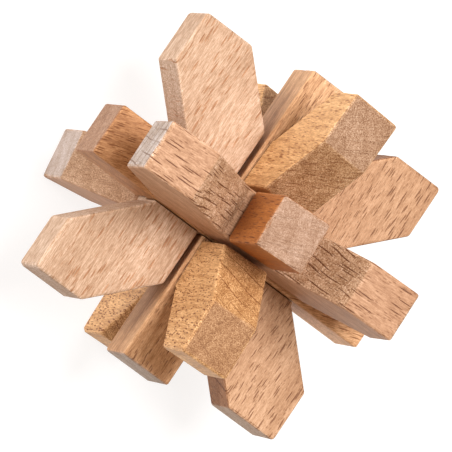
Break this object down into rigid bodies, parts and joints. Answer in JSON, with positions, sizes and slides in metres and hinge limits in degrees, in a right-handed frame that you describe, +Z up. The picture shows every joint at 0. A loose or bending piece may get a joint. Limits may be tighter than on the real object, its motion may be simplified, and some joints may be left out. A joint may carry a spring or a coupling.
{
  "type": "wooden burr puzzle",
  "caption": "Star-shaped wooden burr puzzle: notched boards and square sticks interlock at right angles, and a key stick draws out upwards to let the boards lift off.",
  "frame": {"origin": "on the surface the puzzle stands on, under its centre", "axes": "+Z up along the key stick; +X along the upper cross stick; +Y along the lower cross stick"},
  "size_m": [0.0712, 0.0712, 0.0683],
  "materials": {
    "top_board": "bare sanded beech, matt to satin, flecked with dark ray marks",
    "bottom_board": "bare sanded beech, matt to satin, flecked with dark ray marks",
    "left_board": "bare sanded beech, matt to satin, flecked with dark ray marks",
    "right_board": "bare sanded beech, matt to satin, flecked with dark ray marks",
    "front_board": "bare sanded beech, matt to satin, flecked with dark ray marks",
    "back_board": "bare sanded beech, matt to satin, flecked with dark ray marks",
    "upper_cross_stick": "bare sanded beech, matt to satin, flecked with dark ray marks",
    "lower_cross_stick": "bare sanded beech, matt to satin, flecked with dark ray marks",
    "key_stick": "bare sanded beech, matt to satin, flecked with dark ray marks"
  },
  "bodies": {
    "base": {"lower_cross_stick": "lower_cross_stick", "front_board": "front_board", "back_board": "back_board"},
    "bottom_board": {"bottom_board": "bottom_board"},
    "left_board": {"left_board": "left_board"},
    "right_board": {"right_board": "right_board"},
    "upper_cross_stick": {"upper_cross_stick": "upper_cross_stick"},
    "top_board": {"top_board": "top_board"},
    "key_stick": {"key_stick": "key_stick"}
  },
  "joints": [
    {"name": "bottom_board_twist", "type": "hinge", "parent": "base", "child": "bottom_board", "pos_m": [0, 0, 0.013], "axis": [0, 0, 1], "range_deg": [-15.5, 1.5]},
    {"name": "left_board_lift", "type": "slide", "parent": "base", "child": "left_board", "axis": [0, 0, 1], "range_m": [0, 0.02]},
    {"name": "right_board_lift", "type": "slide", "parent": "base", "child": "right_board", "axis": [0, 0, 1], "range_m": [0, 0.02]},
    {"name": "upper_cross_stick_lift", "type": "slide", "parent": "left_board", "child": "upper_cross_stick", "axis": [0, 0, 1], "range_m": [0, 0.02]},
    {"name": "top_board_lift", "type": "slide", "parent": "upper_cross_stick", "child": "top_board", "axis": [0, 0, 1], "range_m": [0, 0.03]},
    {"name": "key_slide", "type": "slide", "parent": "top_board", "child": "key_stick", "axis": [0, 0, 1], "range_m": [0, 0.05]}
  ],
  "couplings": [
    {"joint": "right_board_lift", "follows": "left_board_lift", "ratio": 1}
  ]
}
